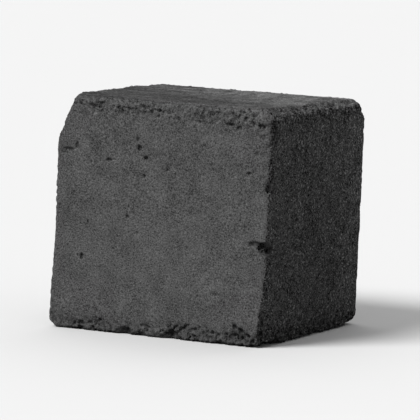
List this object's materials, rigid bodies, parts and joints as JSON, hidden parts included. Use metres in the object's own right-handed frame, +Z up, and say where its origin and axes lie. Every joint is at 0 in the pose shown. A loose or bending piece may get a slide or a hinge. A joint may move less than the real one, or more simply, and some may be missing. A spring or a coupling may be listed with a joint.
{
  "type": "charcoal cube",
  "caption": "Pressed charcoal cube with flat moulded faces, worn edges, broken corners and small chips, standing on its flat underside.",
  "frame": {"origin": "middle of the underside, on the surface that the cube stands on", "axes": "+Z up; -Y out of the front, the face whose top left corner is broken; +X out of the right side"},
  "size_m": [0.0252, 0.0252, 0.0251],
  "materials": {
    "charcoal": "matte"
  },
  "bodies": {
    "root": {"charcoal_cube": "charcoal"}
  },
  "joints": []
}
